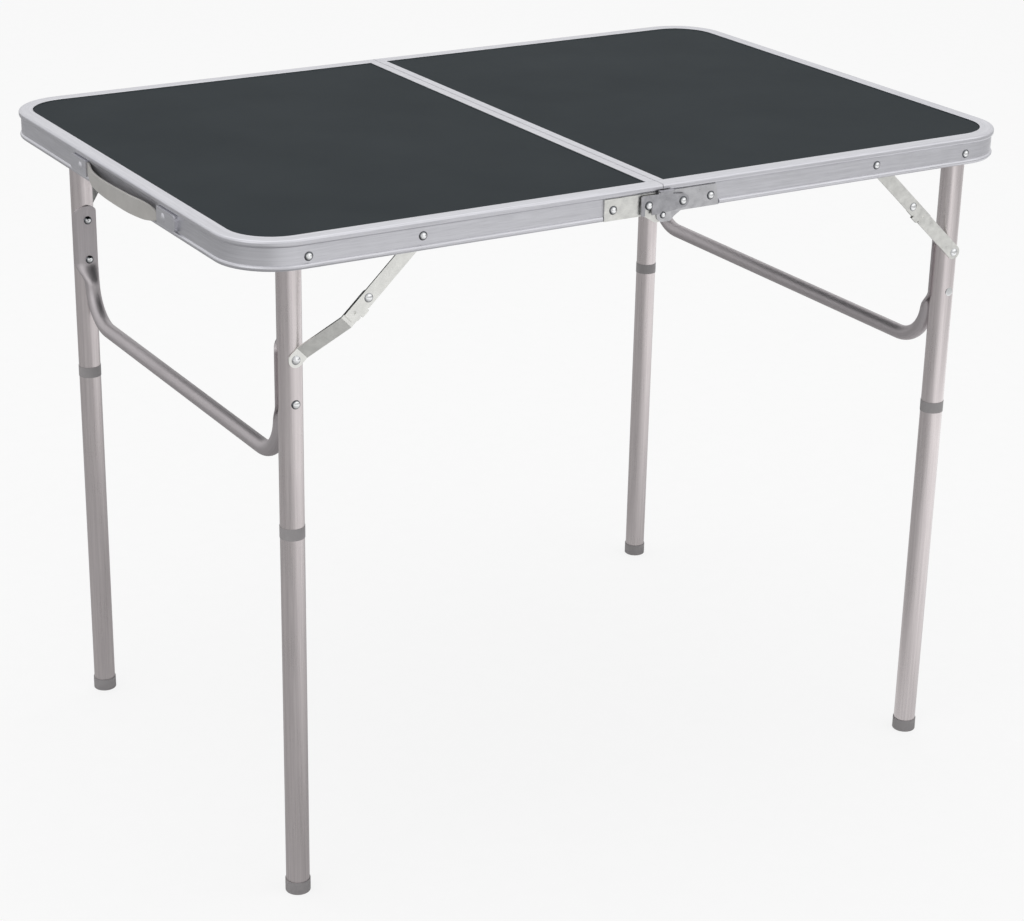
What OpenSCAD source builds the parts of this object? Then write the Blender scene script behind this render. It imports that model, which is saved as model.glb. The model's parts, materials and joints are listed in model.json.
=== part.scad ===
// Folding camping table with a two-piece top, hinged at the middle.
// X runs along the table, Y across it, Z up. The origin is on the floor, under the
// middle of the whole outline, so the seam lies half the handle's reach to the right.

/* [Table] */
// Length of the open top over its lips
table_l = 900; // [800:10:1100]
// Width of the top over its lips
table_w = 600; // [520:10:720]
// Height of the top above the floor
table_h = 700; // [640:5:760]

/* [Edge frame] */
// Height of the edge frame, lip and bead included
rim_h = 29; // [28.5:0.5:34]
// Thickness of the frame's wall
wall_t = 1.2; // [1:0.1:2]
// How far the wall lies back from the lip's outer face
wall_inset = 2; // [1.6:0.1:3]
// Height of the rounded lip on the outside
lip_h = 7; // [6:0.5:8]
// Width of the lip over the board
lip_w = 15; // [12:0.5:20]
// Thickness of the lip over the board
flange_t = 1.2; // [1:0.1:1.5]
// Thickness of the shelf under the board
shelf_t = 1; // [0.8:0.1:1.2]
// Reach of the shelf from the lip's outer face
shelf_w = 12; // [8:0.5:14]
// Height of the bead along the foot of the wall
bead_h = 5.5; // [4:0.5:7]
// Radius of the top's corners
corner_r = 60; // [45:1:90]
// Width of each centre bar's lip at the seam
seam_lip_w = 9.7; // [7:0.1:14]
// Open gap between the two halves
seam_gap = 0.6; // [0.4:0.1:1.2]

/* [Board] */
// Thickness of the boards
board_t = 3; // [2.5:0.1:3.2]
// Side clearance of a board in its frame
board_gap = 0.3; // [0.1:0.1:0.5]

/* [Legs] */
// Outer diameter of the leg tubes
leg_d = 24; // [20:0.5:24]
// Wall of the leg tubes
leg_wall = 1.2; // [1:0.1:2]
// Distance from the leg pivots to the end of the top
leg_setback = 68; // [60:1:80]
// Depth of the leg pivots under the top's surface
pivot_drop = 17.5; // [17.5:0.1:18.5]
// Length of an upper leg below its pivot
upper_leg_l = 279.5; // [240:0.5:300]
// Clearance between the legs of the two frames when they pass
pass_gap = 0.4; // [0.3:0.1:1]

/* [Plug connectors] */
// Height of the collar between upper and lower leg
collar_h = 12; // [8:0.5:16]
// How far the collar stands proud of the tubes
collar_proud = 0.4; // [0.2:0.1:0.6]
// Length of the stem in the upper leg
stem_up_l = 40; // [25:1:60]
// Length of the stem in the lower leg
stem_down_l = 30; // [20:1:60]
// Wall of the hollow stems
stem_wall = 2.4; // [1.5:0.1:3]

/* [Feet] */
// Height of a foot cap
foot_h = 14; // [10:0.5:20]
// Thickness of a foot cap's side
foot_wall = 0.75; // [0.5:0.05:0.8]
// Thickness of a foot cap's sole
sole_t = 2.5; // [1.5:0.1:4]

/* [Braces] */
// Outer diameter of the brace tube
brace_d = 16; // [14:0.5:18]
// Wall of the brace tube
brace_wall = 1.2; // [1:0.1:2]
// Drop of the crossbar below the leg pivots
brace_drop = 220.5; // [200:0.5:230]
// Radius of the brace's bends at the middle of the tube
brace_bend_r = 45; // [35:1:50]
// Drop of the saddles' upper ends below the leg pivots
saddle_drop = 92.5; // [85:0.5:97]
// Length of the saddles along the legs
saddle_l = 66; // [62:0.5:68]
// Thickness of the flattened saddles
saddle_t = 3; // [2.5:0.1:3.5]
// Drop of the lower brace rivets below the leg pivots
brace_rivet_drop = 153; // [148:0.5:153]

/* [Stays] */
// Width of the stay links
link_w = 15; // [12:0.5:15]
// Thickness of the stay links
link_t = 1.5; // [1.2:0.1:1.5]
// Distance from the seam to the upper pivots of the stays
stay_top_x = 264.5; // [262:0.5:266]
// Depth of the stays' upper pivots under the top's surface
stay_top_drop = 15; // [15:0.1:16]
// Drop of the stays' leg pivots below the leg pivots
stay_leg_drop = 108.5; // [107:0.5:110]
// Length of the upper link between its pivots
upper_link_l = 76; // [75.9:0.1:76.4]
// How far the upper link laps over the lower one past the mid rivet
lap_l = 27; // [20:0.5:32]

/* [Rivets] */
// Diameter of the leg pivot rivets
pivot_d = 6; // [5:0.5:7]
// Diameter of the other rivets
rivet_d = 5; // [4:0.5:5]
// Diameter of the rivet heads
head_d = 9; // [8:0.5:9]
// Height of the domed heads on the walls
head_h = 1.9; // [1.4:0.1:2]
// Height of the low heads at the stays
low_head_h = 1.4; // [1:0.1:1.5]
// Outer diameter of the spacer sleeves on the leg pivots
sleeve_d = 12; // [10:0.5:14]

/* [Hinge and latch] */
// Thickness of the hinge plates and of the lever
plate_t = 1.5; // [1.2:0.1:2]
// Length of the hinge plates from the seam
plate_l = 67; // [60:1:80]
// Slant of the right hinge plates' outer edge
plate_slant = 4; // [0:0.5:6]
// Drop of the hinge axis below the foot of the frame
hinge_drop = 1.5; // [1:0.1:3]
// Radius of the hinge ears
ear_r = 7; // [6.5:0.5:7.5]
// Distance from the seam to the outer rivets of the plates
plate_rivet_x = 57; // [50:1:60]
// Distance from the seam to the catch studs
stud_x = 18; // [16:0.5:20]
// Distance from the seam to the latch pivots
latch_x = 22; // [20:0.5:24]
// Height of the latch pivots and studs above the foot of the frame
latch_h = 10.5; // [10:0.5:12]
// Diameter of the catch studs
stud_d = 6.4; // [5:0.1:7]
// Height of the latch levers at their hooks
lever_h = 20; // [18:0.5:20]
// Height of the latch levers at their pivots
lever_end_h = 14; // [12:0.5:18]
// Reach of a lever past its stud
lever_reach = 8.5; // [7:0.5:10]
// Play of the lever's hook round its stud
hook_play = 0.9; // [0.8:0.1:1.2]
// Distance from a lever's pivot to its thumb tab
tab_start = 12; // [11:0.5:14]
// Width of the lever's thumb tab
tab_w = 17; // [12:1:18]
// How far the thumb tab stands out
tab_reach = 3; // [2:0.5:6]

/* [Handle] */
// Distance from the table's middle line to the middle of the handle, towards the front
handle_y = 30; // [0:1:60]
// Length of the handle's free strap
strap_l = 176; // [140:2:200]
// Height of the strap at its middle
strap_h = 23; // [19:0.5:24]
// Height of the strap at its ends
strap_end_h = 14; // [10:0.5:15]
// Thickness of the strap
strap_t = 2.6; // [2:0.1:3]
// How far the handle stands out past the lip
handle_reach = 8; // [6:0.5:20]
// Length of each lug
lug_l = 42; // [30:1:50]
// Height of each lug
lug_h = 16; // [15:0.5:16]
// Solid end of each lug past the strap
lug_end = 12; // [6:1:16]
// Wall of the lugs round the strap's ends
lug_wall = 1.6; // [1.2:0.1:2]

/* [Clearances] */
// Clearance of a running or push fit, on the radius
fit_gap = 0.05; // [0.03:0.01:0.08]
// Clearance between flat faces that slide
slide_gap = 0.2; // [0.15:0.05:0.3]

/* [Hidden] */
$fn = 64;

FRONT = -1;
REAR = 1;
LEFT = -1;
RIGHT = 1;

ALU = [0.74, 0.74, 0.76];
ALU_LEG = [0.78, 0.76, 0.77];
ZINC = [0.72, 0.73, 0.74];
STEEL = [0.62, 0.63, 0.65];
SLATE = [0.24, 0.26, 0.27];
GREY = [0.50, 0.50, 0.50];
STRAP = [0.62, 0.62, 0.59];

// Overlap that lets a cut pass a face
cut = 1;
half_l = table_l / 2;
half_w = table_w / 2;
seam_x = handle_reach / 2;
half_gap = seam_gap / 2;

// Edge frame section: distances in from the lip's outer face
wall_in = wall_inset + wall_t;
lip_round = 2.5;
slot_drop = flange_t + board_t;
shelf_drop = slot_drop + shelf_t;

// Depths across the table, from its middle line out to a face
wall_out_y = half_w - wall_inset;
wall_in_y = half_w - wall_in;
upper_link_y = wall_in_y - slide_gap - low_head_h;
lower_link_y = upper_link_y - link_t - slide_gap;
right_leg_y = lower_link_y - link_t - slide_gap - leg_d / 2;
left_leg_y = right_leg_y - leg_d - pass_gap;

// Leg pivot, and the two ends and the middle of a stay, as seen from the front
pivot_x = half_l - leg_setback;
pivot_z = table_h - pivot_drop;
stay_top_z = table_h - stay_top_drop;
stay_leg_z = pivot_z - stay_leg_drop;
stay_span = norm([pivot_x - stay_top_x, stay_top_z - stay_leg_z]);
stay_angle = atan2(stay_leg_z - stay_top_z, pivot_x - stay_top_x);
lower_link_l = stay_span - upper_link_l;
mid_x = stay_top_x + upper_link_l * cos(stay_angle);
mid_z = stay_top_z + upper_link_l * sin(stay_angle);
crank_start = link_w / 2 + 2;
crank_end = lower_link_l - lap_l - 2 * link_t;
stop_l = 9;
stop_start = upper_link_l + stop_l - 1;
stop_depth = link_t + 0.3;
relief_w = 1.2;
lap_cut = 5;
dimple_back = 8;
dimple_r = 1.4;
set_tail_h = 1.2;

// Legs
upper_leg_end_z = pivot_z - upper_leg_l;
lower_leg_top_z = upper_leg_end_z - collar_h;
collar_r = leg_d / 2 + collar_proud;
bore_r = leg_d / 2 - leg_wall;
foot_r = leg_d / 2 + fit_gap + foot_wall;
tail_h = 1.6;
sink_h = 0.8;

// Brace
brace_z = pivot_z - brace_drop;
brace_gap = 0.3;
brace_side = leg_d / 2 + brace_gap + brace_d / 2;
bend_top_z = brace_z + brace_bend_r;
saddle_top_z = pivot_z - saddle_drop;
saddle_low_z = saddle_top_z - saddle_l;
saddle_r = leg_d / 2 + fit_gap + saddle_t;
saddle_start = 4;

// Hinge and latch, from the seam and from the foot of the frame
rim_foot_z = table_h - rim_h;
hinge_z = rim_foot_z - hinge_drop;
latch_z = rim_foot_z + latch_h;
plate_y = wall_out_y + slide_gap;
ear_y = plate_y + plate_t + slide_gap;
lever_y = ear_y + plate_t + slide_gap;
lever_out_y = lever_y + plate_t;
plate_top = rim_h - lip_h - slide_gap;
plate_start = ear_r + 1;
pin_d = 4;
pin_head_d = 7;
notch_gap = 0.9;
tab_rise = 3.2;

// Handle
wall_end_x = half_l - wall_inset;
strap_bow = handle_reach + wall_inset - strap_t;
strap_z = table_h - (lip_h + rim_h - bead_h) / 2;
strap_steps = 32;
strap_flat = lug_l - lug_end;
lug_t = strap_t + lug_wall;
lug_r = 5;

// Places a front right quarter's shape at the named end and side of the table
module quarter(end, side) {
    translate([seam_x, 0, 0])
        mirror([end == LEFT ? 1 : 0, 0, 0])
            mirror([0, side == REAR ? 1 : 0, 0])
                children();
}

// Turns a flat shape to stand along the front: x stays, y goes up, z goes out
module on_front(x, y, z) {
    translate([x, -y, z]) rotate([90, 0, 0]) children();
}

module both_sides() {
    children();
    mirror([0, 1, 0]) children();
}

// Straight round hole through a wall that faces the front
module front_hole(x, y, z, r, depth) {
    on_front(x, y, z) translate([0, 0, -depth - cut]) cylinder(r = r, h = depth + 2 * cut);
}

module tube(d, wall, h) {
    difference() {
        cylinder(d = d, h = h);
        translate([0, 0, -cut]) cylinder(d = d - 2 * wall, h = h + 2 * cut);
    }
}

// Low dome on the plane z = 0
module dome(d, h) {
    ball_r = (d * d / 4 + h * h) / (2 * h);
    rotate_extrude() intersection() {
        translate([0, h - ball_r]) circle(r = ball_r, $fn = 96);
        square([d / 2, h]);
    }
}

// Rivet along z: dome above z = 0, shank down through the grip, flat set tail below it
module rivet(d, grip, dome_h, tail_d, tail) {
    dome(head_d, dome_h);
    translate([0, 0, -grip]) cylinder(d = d, h = grip);
    if (tail > 0) translate([0, 0, -grip - tail]) cylinder(d = tail_d, h = tail);
}

function leg_y(end) = end == LEFT ? left_leg_y : right_leg_y;

// Section of the edge frame: x in from the lip's outer face, y down from the top
module rim_section() {
    intersection() {
        union() {
            translate([lip_round, -lip_round]) circle(r = lip_round);
            translate([lip_round, lip_round - lip_h]) circle(r = lip_round);
            translate([0, lip_round - lip_h]) square([wall_in, lip_h - 2 * lip_round]);
            translate([lip_round, -lip_h]) square([wall_in, lip_h]);
        }
        translate([0, -lip_h]) square([wall_in, lip_h]);
    }
    translate([lip_round, -flange_t]) square([lip_w - lip_round - flange_t / 2, flange_t]);
    translate([lip_w - flange_t / 2, -flange_t / 2]) circle(d = flange_t);
    translate([wall_inset, -rim_h]) square([wall_t, rim_h - flange_t]);
    translate([wall_inset, -shelf_drop]) square([shelf_w - wall_inset, shelf_t]);
    translate([0, -rim_h]) intersection() {
        translate([wall_in, bead_h / 2]) circle(d = bead_h);
        square([wall_in, bead_h]);
    }
}

// The section as it stands out from a corner's centre
module rim_section_from_corner() {
    translate([corner_r, 0]) mirror([1, 0]) rim_section();
}

module edge_frame(end) {
    straight = half_l - corner_r - half_gap;
    color(ALU) quarter(end, FRONT) difference() {
        union() {
            translate([half_l - corner_r, half_w - corner_r, table_h])
                rotate([90, 0, 0]) linear_extrude(table_w - 2 * corner_r) rim_section_from_corner();
            both_sides() {
                translate([half_l - corner_r, corner_r - half_w, table_h])
                    rotate([0, 0, -90]) rotate_extrude(angle = 90, $fn = 96) rim_section_from_corner();
                translate([half_gap, -half_w, table_h])
                    rotate([90, 0, 90]) linear_extrude(straight) rim_section();
            }
        }
        both_sides() {
            // Bead cut away where the hinge plate lies flat on the wall
            translate([-cut, -half_w - cut, rim_foot_z - cut])
                cube([plate_l + 2 * cut, wall_inset + cut, bead_h + 2 * cut]);
            front_hole(pivot_x, wall_out_y, pivot_z, pivot_d / 2 + fit_gap, wall_t);
            front_hole(stay_top_x, wall_out_y, stay_top_z, rivet_d / 2 + fit_gap, wall_t);
            front_hole(plate_rivet_x, wall_out_y, latch_z, rivet_d / 2 + fit_gap, wall_t);
            if (end == LEFT) front_hole(stud_x, wall_out_y, latch_z, stud_d / 2 + fit_gap, wall_t);
            if (end == RIGHT) front_hole(latch_x, wall_out_y, latch_z, rivet_d / 2 + fit_gap, wall_t);
        }
        if (end == LEFT) handle_screw_holes(wall_end_x, wall_t);
    }
}

module centre_bar(end) {
    lip_span = table_w - 2 * lip_w;
    wall_span = table_w - 2 * wall_in;
    color(ALU) quarter(end, FRONT) translate([half_gap, 0, table_h]) {
        translate([0, lip_span / 2, 0]) rotate([90, 0, 0]) linear_extrude(lip_span) {
            translate([0, -flange_t]) square([seam_lip_w - flange_t / 2, flange_t]);
            translate([seam_lip_w - flange_t / 2, -flange_t / 2]) circle(d = flange_t);
            translate([0, -shelf_drop]) square([wall_t, shelf_drop]);
            translate([0, -shelf_drop]) square([seam_lip_w, shelf_t]);
        }
        translate([0, -wall_span / 2, -rim_h]) cube([wall_t, wall_span, rim_h - shelf_drop]);
    }
}

module board(end) {
    edge = wall_in + board_gap;
    r = corner_r - edge;
    inner_x = half_gap + wall_t + board_gap;
    color(SLATE) quarter(end, FRONT)
        translate([0, 0, table_h - slot_drop]) linear_extrude(board_t) {
            translate([inner_x, edge - half_w]) square([half_l - corner_r - inner_x, table_w - 2 * edge]);
            translate([inner_x, corner_r - half_w]) square([half_l - edge - inner_x, table_w - 2 * corner_r]);
            translate([half_l - corner_r, corner_r - half_w]) circle(r = r, $fn = 96);
            translate([half_l - corner_r, half_w - corner_r]) circle(r = r, $fn = 96);
        }
}

module leg_pivot_rivets(end) {
    grip = wall_out_y - leg_y(end) + leg_d / 2 + slide_gap;
    color(STEEL) quarter(end, FRONT) both_sides()
        on_front(pivot_x, wall_out_y, pivot_z) rivet(pivot_d, grip, head_h, head_d, tail_h);
}

module leg_spacers(end) {
    length = wall_in_y - leg_y(end) - leg_d / 2 - slide_gap;
    color(ZINC) quarter(end, FRONT) both_sides()
        on_front(pivot_x, wall_in_y, pivot_z) translate([0, 0, -length])
            tube(sleeve_d, (sleeve_d - pivot_d) / 2 - fit_gap, length);
}

// Shouldered rivet: dome on the wall, shoulder behind it, countersunk tail in the link
module stay_top_rivets(end) {
    shoulder = wall_in_y - upper_link_y - slide_gap / 2;
    grip = wall_out_y - upper_link_y + link_t;
    color(STEEL) quarter(end, FRONT) both_sides()
        on_front(stay_top_x, wall_out_y, stay_top_z) {
            rivet(rivet_d, grip, head_h, head_d, 0);
            translate([0, 0, -wall_t - shoulder]) cylinder(d = head_d, h = shoulder);
            translate([0, 0, -grip]) countersink(rivet_d / 2);
        }
}

// Flat cone that widens towards z = 0 from the shank's radius
module countersink(r) {
    cylinder(r1 = r + sink_h, r2 = r, h = sink_h);
}

module upper_leg(end, side) {
    length = upper_leg_l;
    color(ALU_LEG) quarter(end, side) translate([pivot_x, -leg_y(end), 0]) difference() {
        intersection() {
            translate([0, 0, upper_leg_end_z]) tube(leg_d, leg_wall, length + leg_d / 2);
            union() {
                translate([-leg_d, -leg_d, upper_leg_end_z]) cube([2 * leg_d, 2 * leg_d, length]);
                translate([0, leg_d, pivot_z]) rotate([90, 0, 0]) cylinder(d = leg_d, h = 2 * leg_d);
            }
        }
        front_hole(0, leg_d / 2, pivot_z, pivot_d / 2 + fit_gap, leg_d);
        front_hole(0, leg_d / 2, stay_leg_z, rivet_d / 2 + fit_gap, leg_d);
        front_hole(0, 0, pivot_z - brace_rivet_drop, rivet_d / 2 + fit_gap, leg_d);
    }
}

// Half of the brace tube, from the crossbar's middle round the bend to the foot of a saddle
module brace_tube(end, d) {
    bar_half = leg_y(end) - brace_side - brace_bend_r;
    translate([0, 0, brace_z]) rotate([90, 0, 0]) cylinder(d = d, h = bar_half);
    translate([0, -bar_half, bend_top_z]) rotate([90, 0, 90]) rotate([0, 0, 180])
        rotate_extrude(angle = 90) translate([brace_bend_r, 0]) circle(d = d);
}

// Pressed end of the brace: a curved plate on the leg that runs into the round tube
module brace_end(end) {
    throat = saddle_low_z - bend_top_z;
    difference() {
        union() {
            intersection() {
                translate([0, 0, saddle_low_z]) cylinder(r = saddle_r, h = saddle_l);
                translate([-saddle_r, saddle_start, saddle_low_z]) union() {
                    cube([2 * saddle_r, saddle_r, saddle_l - saddle_r]);
                    translate([saddle_r, 0, saddle_l - saddle_r]) rotate([-90, 0, 0])
                        cylinder(r = saddle_r, h = saddle_r);
                }
            }
            hull() {
                intersection() {
                    translate([0, 0, saddle_low_z]) cylinder(r = saddle_r, h = cut, $fn = 32);
                    translate([-saddle_r, saddle_start, saddle_low_z]) cube([2 * saddle_r, saddle_r, cut]);
                }
                translate([0, brace_side, bend_top_z]) cylinder(d = brace_d, h = cut / 2, $fn = 32);
            }
        }
        translate([0, 0, bend_top_z - cut]) cylinder(d = leg_d + 2 * fit_gap, h = saddle_l + throat + 2 * cut);
        front_hole(0, 0, stay_leg_z, rivet_d / 2 + fit_gap, leg_d);
        front_hole(0, 0, pivot_z - brace_rivet_drop, rivet_d / 2 + fit_gap, leg_d);
    }
}

module leg_brace(end) {
    color(ALU_LEG) quarter(end, FRONT) translate([pivot_x, 0, 0]) both_sides() {
        difference() {
            brace_tube(end, brace_d);
            brace_tube(end, brace_d - 2 * brace_wall);
        }
        translate([0, -leg_y(end), 0]) brace_end(end);
    }
}

// Long rivets through stay, leg and saddle, and short blind rivets below them
module brace_rivets(end) {
    out_y = leg_y(end) + leg_d / 2 + slide_gap + link_t + slide_gap / 2;
    in_y = leg_y(end) - saddle_r;
    blind = saddle_t + fit_gap + leg_wall;
    color(STEEL) quarter(end, FRONT) both_sides() {
        on_front(pivot_x, out_y, stay_leg_z) {
            dome(head_d, low_head_h);
            translate([0, 0, in_y - out_y]) cylinder(d = rivet_d, h = out_y - in_y);
            translate([0, 0, in_y - out_y]) mirror([0, 0, 1]) dome(head_d, head_h);
        }
        on_front(pivot_x, in_y, pivot_z - brace_rivet_drop) {
            mirror([0, 0, 1]) dome(head_d, head_h);
            cylinder(d = rivet_d, h = blind + tail_h);
        }
    }
}

module connector(end, side) {
    stem_d = 2 * (bore_r - fit_gap);
    bottom_z = lower_leg_top_z - stem_down_l;
    length = stem_down_l + collar_h + stem_up_l;
    color(GREY) quarter(end, side) translate([pivot_x, -leg_y(end), 0]) difference() {
        union() {
            translate([0, 0, bottom_z]) cylinder(d = stem_d, h = length - cut);
            translate([0, 0, bottom_z + length - cut]) cylinder(d1 = stem_d, d2 = stem_d - 2 * cut, h = cut);
            translate([0, 0, lower_leg_top_z]) cylinder(r = collar_r, h = collar_h);
        }
        translate([0, 0, bottom_z - cut]) cylinder(d = stem_d - 2 * stem_wall, h = length + 2 * cut);
    }
}

module lower_leg(end, side) {
    color(ALU_LEG) quarter(end, side) translate([pivot_x, -leg_y(end), sole_t])
        tube(leg_d, leg_wall, lower_leg_top_z - sole_t);
}

module foot_cap(end, side) {
    edge = 1;
    color(GREY) quarter(end, side) translate([pivot_x, -leg_y(end), 0]) difference() {
        rotate_extrude() {
            translate([0, edge]) square([foot_r, foot_h - edge]);
            square([foot_r - edge, edge]);
            translate([foot_r - edge, edge]) circle(r = edge);
        }
        translate([0, 0, sole_t]) cylinder(d = leg_d + 2 * fit_gap, h = foot_h);
    }
}

// Flat strip with round ends from the origin along x
module strip(length, w) {
    circle(d = w);
    translate([0, -w / 2]) square([length, w]);
    translate([length, 0]) circle(d = w);
}

// Upper link: lapping end with one corner cut, a dimple, and a stop tab bent in under the lower link
module upper_link(end, side) {
    half = link_w / 2;
    length = upper_link_l + lap_l;
    stop_y = -half - slide_gap - link_t;
    color(ZINC) quarter(end, side) on_front(stay_top_x, upper_link_y, stay_top_z)
        rotate([0, 0, stay_angle]) translate([0, 0, -link_t]) difference() {
            union() {
                linear_extrude(link_t) {
                    circle(d = link_w);
                    polygon([
                        [0, -half], [length - lap_cut, -half], [length, lap_cut - link_t - half], [length, half], [0, half]
                    ]);
                }
                translate([stop_start, stop_y, 0]) cube([stop_l, half, link_t]);
                translate([stop_start, stop_y, -stop_depth]) cube([stop_l, link_t, stop_depth + link_t]);
            }
            translate([0, 0, -cut]) cylinder(d = rivet_d + 2 * fit_gap, h = link_t + 2 * cut);
            countersink(rivet_d / 2 + fit_gap);
            translate([upper_link_l, 0, -cut]) cylinder(d = rivet_d + 2 * fit_gap, h = link_t + 2 * cut);
            translate([length - dimple_back, 1, link_t]) sphere(r = dimple_r);
            for (x = [stop_start - relief_w, stop_start + stop_l])
                translate([x, -half - cut, -cut]) cube([relief_w, relief_w + cut, link_t + 2 * cut]);
        }
}

// Outer half of the mid rivet, set in the upper link, because the linkage is open here
module mid_rivet(end, side) {
    color(STEEL) quarter(end, side) on_front(mid_x, upper_link_y, mid_z) {
        dome(head_d, low_head_h);
        translate([0, 0, -link_t]) cylinder(d = rivet_d, h = link_t);
    }
}

// Lower link from the leg up to the mid rivet; on the left it is cranked in to the inner legs
module lower_link(end, side) {
    crank = end == LEFT ? right_leg_y - left_leg_y : 0;
    bend = end == LEFT ? crank_end : crank_start;
    half = link_w / 2;
    color(ZINC) quarter(end, side) on_front(pivot_x, lower_link_y, stay_leg_z)
        rotate([0, 0, stay_angle + 180]) difference() {
            union() {
                intersection() {
                    translate([0, 0, -crank - link_t - cut])
                        linear_extrude(crank + link_t + 2 * cut) strip(lower_link_l, link_w);
                    translate([0, half + cut, 0]) rotate([90, 0, 0]) linear_extrude(link_w + 2 * cut)
                        polygon([
                            [-link_w, -crank - link_t],
                            [crank_start, -crank - link_t],
                            [bend, -link_t],
                            [lower_link_l + link_w, -link_t],
                            [lower_link_l + link_w, 0],
                            [bend - link_t / 2, 0],
                            [crank_start - link_t / 2, -crank],
                            [-link_w, -crank]
                        ]);
                }
                // Set tail of the mid rivet, on the side of the legs
                translate([lower_link_l, 0, -link_t]) mirror([0, 0, 1]) dome(head_d, set_tail_h);
            }
            translate([0, 0, -crank - link_t - cut])
                cylinder(d = rivet_d + 2 * fit_gap, h = link_t + 2 * cut);
        }
}

// Flat outline of a hinge plate with its ear, from the seam out; y = 0 is the foot of the frame
module plate_outline(slant) {
    translate([0, -hinge_drop]) circle(r = ear_r);
    polygon([
        [0, -hinge_drop - ear_r], [plate_start, -hinge_drop - ear_r], [plate_start + 2 * ear_r, 0],
        [plate_l, 0], [plate_l - slant, plate_top], [plate_start, plate_top],
        [plate_start, ear_r - hinge_drop], [0, ear_r - hinge_drop]
    ]);
}

module hinge_plate(end, side) {
    crank = end == RIGHT ? plate_t + slide_gap : 0;
    pin_gap = end == RIGHT ? fit_gap : 0;
    fastener_x = end == LEFT ? stud_x : latch_x;
    fastener_d = end == LEFT ? stud_d : rivet_d;
    flat_x = plate_start + plate_t;
    ramp_x = flat_x + 3 * crank;
    color(ZINC) quarter(end, side) on_front(0, plate_y, rim_foot_z) difference() {
        intersection() {
            linear_extrude(crank + plate_t) plate_outline(end == RIGHT ? plate_slant : 0);
            translate([0, plate_top + cut, 0]) rotate([90, 0, 0]) linear_extrude(rim_h + 2 * ear_r)
                polygon([
                    [-ear_r - cut, crank], [flat_x, crank], [ramp_x, 0],
                    [plate_l + cut, 0], [plate_l + cut, plate_t],
                    [ramp_x, plate_t], [flat_x, crank + plate_t], [-ear_r - cut, crank + plate_t]
                ]);
        }
        translate([0, -hinge_drop, -cut]) cylinder(r = pin_d / 2 + pin_gap, h = crank + plate_t + 2 * cut);
        translate([plate_rivet_x, latch_h, -cut]) cylinder(d = rivet_d + 2 * fit_gap, h = plate_t + 2 * cut);
        translate([fastener_x, latch_h, -cut]) cylinder(d = fastener_d + 2 * fit_gap, h = plate_t + 2 * cut);
    }
}

// Hinge pins: shank pressed in the left ear, head outside the right one
module hinge_pins() {
    length = ear_y + plate_t + slide_gap / 2 - plate_y;
    color(STEEL) quarter(LEFT, FRONT) both_sides()
        on_front(0, plate_y, hinge_z) {
            cylinder(d = pin_d, h = length);
            translate([0, 0, length]) dome(pin_head_d, head_h - slide_gap);
        }
}

module plate_rivets(end) {
    grip = plate_y + plate_t - wall_in_y;
    color(STEEL) quarter(end, FRONT) both_sides()
        on_front(plate_rivet_x, plate_y + plate_t, latch_z) rivet(rivet_d, grip, head_h, head_d, tail_h);
}

// Catch studs: a shoulder on the plate, a neck for the lever's hook and a head outside it
module catch_studs() {
    out_y = lever_out_y + slide_gap;
    color(STEEL) quarter(LEFT, FRONT) both_sides()
        on_front(stud_x, out_y, latch_z) {
            rivet(stud_d, out_y - wall_in_y, head_h, head_d, tail_h);
            translate([0, 0, plate_y + plate_t - out_y]) cylinder(d = head_d, h = ear_y - plate_y);
        }
}

module latch_pivots() {
    out_y = lever_out_y + slide_gap / 2;
    shoulder = lever_y - slide_gap / 2 - plate_y - plate_t;
    color(STEEL) quarter(RIGHT, FRONT) both_sides()
        on_front(latch_x, out_y, latch_z) {
            rivet(rivet_d, out_y - wall_in_y, head_h, head_d, tail_h);
            translate([0, 0, plate_y + plate_t - out_y]) cylinder(d = head_d, h = shoulder);
        }
}

// Latch lever, hooked over the stud from above, with a thumb tab bent out of its upper edge
module latch_lever(side) {
    half = lever_h / 2;
    hook_x = -latch_x - stud_x;
    end_x = hook_x - lever_reach;
    taper_x = -tab_start - tab_w;
    slot_r = stud_d / 2 + hook_play;
    corner = 2;
    color(ZINC) quarter(RIGHT, side) on_front(latch_x, lever_y, latch_z) difference() {
        union() {
            linear_extrude(plate_t) {
                circle(d = lever_end_h);
                polygon([
                    [0, lever_end_h / 2], [taper_x, half], [end_x + corner, half],
                    [end_x + corner, -half], [taper_x, -half], [0, -lever_end_h / 2]
                ]);
                translate([end_x, corner - half]) square([2 * corner, lever_h - 2 * corner]);
                translate([end_x + corner, half - corner]) circle(r = corner);
                translate([end_x + corner, corner - half]) circle(r = corner);
                translate([-tab_start - tab_w, 0]) square([tab_w, half + tab_rise]);
            }
            translate([-tab_start - tab_w, half + tab_rise - plate_t, 0])
                cube([tab_w, plate_t, plate_t + tab_reach]);
        }
        translate([0, 0, -cut]) cylinder(d = rivet_d + 2 * fit_gap, h = plate_t + 2 * cut);
        translate([hook_x, 0, -cut]) cylinder(r = slot_r, h = plate_t + 2 * cut);
        translate([hook_x - slot_r, -lever_h, -cut]) cube([2 * slot_r, lever_h, plate_t + 2 * cut]);
        translate([-latch_x, hinge_z - latch_z, -cut])
            cylinder(r = pin_head_d / 2 + notch_gap, h = plate_t + 2 * cut);
    }
}

// Share of the strap's bow and swell at y from its middle: flat at the middle, steep at the ends
function swell(y) = 1 - pow(2 * y / strap_l, 4);

// Points along the strap at low plus the swell's share of rise
function swelled(low, rise) = [
    for (i = [0:strap_steps])
        let (y = strap_l * (i / strap_steps - 0.5))
            [low + rise * swell(y), y]
];

function reverse(list) = [for (i = [len(list) - 1:-1:0]) list[i]];

// Places the handle's shapes: x out from the wall, y from the handle's middle, z from the strap's
module at_handle() {
    translate([wall_end_x, -handle_y, strap_z]) children();
}

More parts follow.
